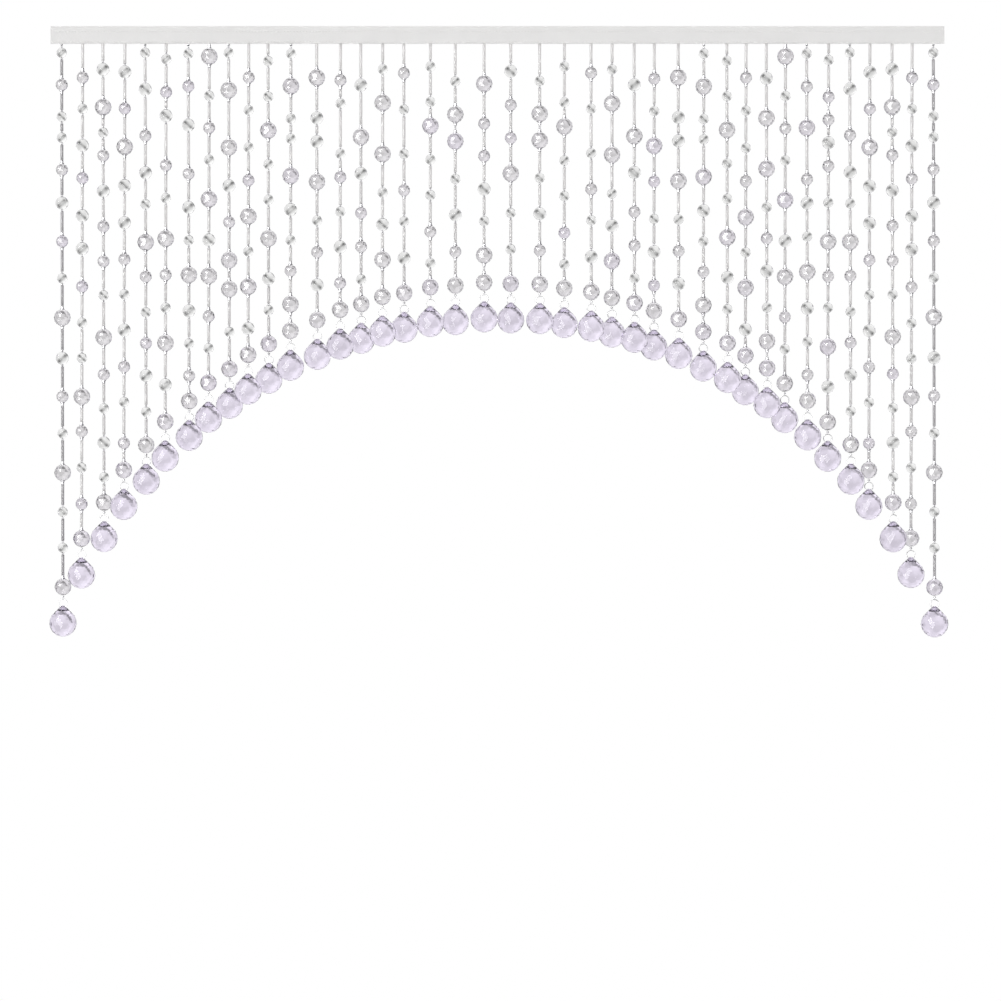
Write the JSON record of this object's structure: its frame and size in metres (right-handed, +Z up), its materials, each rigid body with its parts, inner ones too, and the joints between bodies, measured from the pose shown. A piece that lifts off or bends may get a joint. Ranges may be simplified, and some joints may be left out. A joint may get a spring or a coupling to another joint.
{
  "type": "bead curtain",
  "caption": "Arched doorway bead curtain: strings of glass tubes and faceted beads hang from a narrow heading tape, each ending in a lilac crystal ball.",
  "frame": {"origin": "middle of the heading tape's top edge, where the curtain is held up", "axes": "+Z up, +X along the tape to the right as seen from the front, +Y from the front to the back"},
  "size_m": [0.9796, 0.0506, 0.6659],
  "materials": {
    "heading_tape": "white woven tape, matt, with a line of stitching along its lower edge",
    "bead_glass": "clear and silvered cut glass, polished, on clear line with silver-grey tubes",
    "lilac_crystal": "pale lilac cut crystal, polished facets"
  },
  "bodies": {
    "root": {"heading_tape": "heading_tape", "strings_1": "bead_glass", "strings_2": "bead_glass", "strings_3": "bead_glass", "strings_4": "bead_glass", "strings_5": "bead_glass", "strings_6": "bead_glass", "strings_7": "bead_glass", "strings_8": "bead_glass", "ball_01": "lilac_crystal", "ball_02": "lilac_crystal", "ball_03": "lilac_crystal", "ball_04": "lilac_crystal", "ball_05": "lilac_crystal", "ball_06": "lilac_crystal", "ball_07": "lilac_crystal", "ball_08": "lilac_crystal", "ball_09": "lilac_crystal", "ball_10": "lilac_crystal", "ball_11": "lilac_crystal", "ball_12": "lilac_crystal", "ball_13": "lilac_crystal", "ball_14": "lilac_crystal", "ball_15": "lilac_crystal", "ball_16": "lilac_crystal", "ball_17": "lilac_crystal", "ball_18": "lilac_crystal", "ball_19": "lilac_crystal", "ball_20": "lilac_crystal", "ball_21": "lilac_crystal", "ball_22": "lilac_crystal", "ball_23": "lilac_crystal", "ball_24": "lilac_crystal", "ball_25": "lilac_crystal", "ball_26": "lilac_crystal", "ball_27": "lilac_crystal", "ball_28": "lilac_crystal", "ball_29": "lilac_crystal", "ball_30": "lilac_crystal", "ball_31": "lilac_crystal", "ball_32": "lilac_crystal", "ball_33": "lilac_crystal", "ball_34": "lilac_crystal", "ball_35": "lilac_crystal", "ball_36": "lilac_crystal", "ball_37": "lilac_crystal", "ball_38": "lilac_crystal", "ball_39": "lilac_crystal", "ball_40": "lilac_crystal"}
  },
  "joints": []
}
